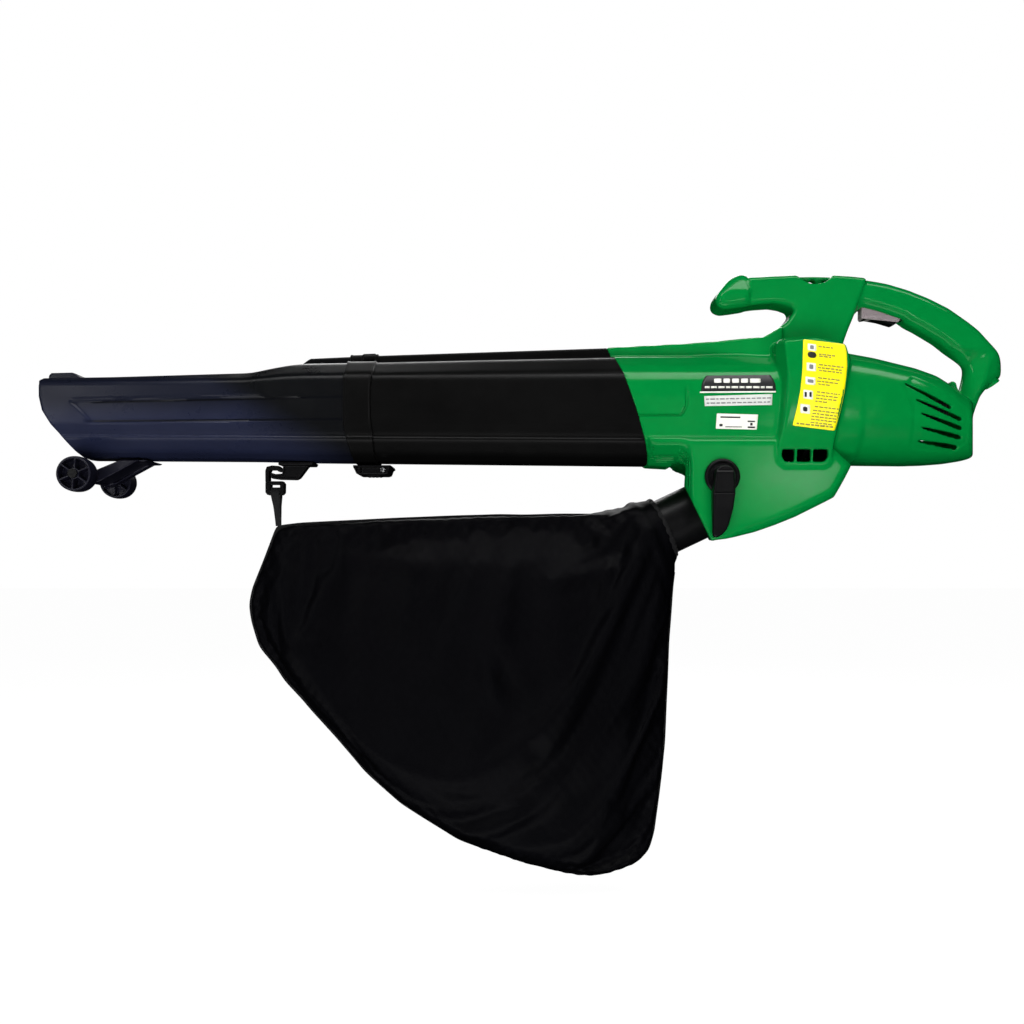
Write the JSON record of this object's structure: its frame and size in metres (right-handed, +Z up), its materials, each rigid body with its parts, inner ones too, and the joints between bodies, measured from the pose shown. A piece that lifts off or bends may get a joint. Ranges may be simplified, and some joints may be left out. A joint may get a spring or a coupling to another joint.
{
  "type": "leaf vacuum mulcher",
  "caption": "Hand-held electric leaf vacuum and blower: long oval suction tube on small wheels, green clamshell fan housing with grips, and a fabric collection bag on a slanted outlet.",
  "frame": {"origin": "centre of the shoulder-strap eye on top of the housing", "axes": "+X from the nozzle to the rear handle, +Y to the tool's right side, +Z up"},
  "size_m": [1.1394, 0.1613, 0.7173],
  "materials": {
    "green_plastic": "glossy moulded green plastic",
    "nozzle_plastic": "glossy blue-black moulded plastic",
    "tube_plastic": "semi-gloss black moulded plastic",
    "black_plastic": "satin black moulded plastic",
    "trigger_plastic": "grey-taupe moulded plastic",
    "steel": "bright steel",
    "iron": "stacked electrical steel laminations",
    "copper": "enamelled copper",
    "brass": "pressed brass",
    "carbon": "pressed carbon",
    "film": "yellow film capacitor case",
    "bag_fabric": "black woven polyester",
    "webbing": "black woven webbing"
  },
  "bodies": {
    "root": {"nozzle_tube": "nozzle_plastic", "rear_tube": "tube_plastic", "latch_housing": "black_plastic", "latch_screw": "steel", "bag_hook": "black_plastic", "wheel_bracket": "black_plastic", "wheel_axle": "steel", "axle_cap_left": "black_plastic", "axle_cap_right": "black_plastic", "housing_left": "green_plastic", "housing_right": "green_plastic", "inlet_ring": "black_plastic", "fan_bulkhead": "black_plastic", "bearing_front": "steel", "bearing_rear": "steel", "stator_core": "iron", "field_coil_upper": "copper", "field_coil_lower": "copper", "brush_holder_left": "brass", "brush_holder_right": "brass", "brush_left": "carbon", "brush_right": "carbon", "rear_bearing_bracket": "black_plastic", "trigger_pin": "steel", "trigger_spring": "steel", "switch_body": "black_plastic", "capacitor": "film", "mains_inlet": "black_plastic", "bag_clip": "black_plastic", "bag_strap": "webbing", "housing_screw_1": "steel", "housing_screw_2": "steel", "housing_screw_3": "steel", "housing_screw_4": "steel", "housing_screw_5": "steel"},
    "rotor": {"rotor_shaft": "steel", "rotor_core": "iron", "commutator": "copper", "cooling_fan": "black_plastic", "impeller": "black_plastic", "impeller_washer": "steel", "impeller_nut": "steel"},
    "trigger_body": {"trigger": "trigger_plastic"},
    "selector": {"selector_lever": "black_plastic", "selector_shaft": "steel", "diverter_flap": "black_plastic"},
    "wheel_left_body": {"wheel_left": "black_plastic"},
    "wheel_right_body": {"wheel_right": "black_plastic"},
    "bag": {"bag_spigot": "black_plastic", "bag_left": "bag_fabric", "bag_right": "bag_fabric"},
    "latch_button_body": {"latch_button": "black_plastic"}
  },
  "joints": [
    {"name": "rotor_spin", "type": "hinge", "parent": "root", "child": "rotor", "pos_m": [0, 0, -0.157], "axis": [1, 0, 0], "continuous": true},
    {"name": "trigger_squeeze", "type": "hinge", "parent": "root", "child": "trigger_body", "pos_m": [0.102, 0, -0.038], "axis": [0, 1, 0], "range_deg": [0, 6.5], "stiffness_Nm_per_rad": 0.6, "springref_deg": -8.59, "deforming": ["trigger_spring"]},
    {"name": "selector_turn", "type": "hinge", "parent": "root", "child": "selector", "pos_m": [-0.12, 0, -0.236], "axis": [0, 1, 0], "range_deg": [0, 62]},
    {"name": "wheel_left_spin", "type": "hinge", "parent": "root", "child": "wheel_left_body", "pos_m": [-0.8539, 0, -0.2329], "axis": [0, 1, 0], "continuous": true},
    {"name": "wheel_right_spin", "type": "hinge", "parent": "root", "child": "wheel_right_body", "pos_m": [-0.8539, 0, -0.2329], "axis": [0, 1, 0], "continuous": true},
    {"name": "spigot_pull", "type": "slide", "parent": "root", "child": "bag", "axis": [-0.9036, 0, -0.4284], "range_m": [0, 0.045]},
    {"name": "latch_button_press", "type": "slide", "parent": "root", "child": "latch_button_body", "axis": [0, 0, 1], "range_m": [0, 0.003], "stiffness_N_per_m": 300, "springref_m": -0.001}
  ]
}
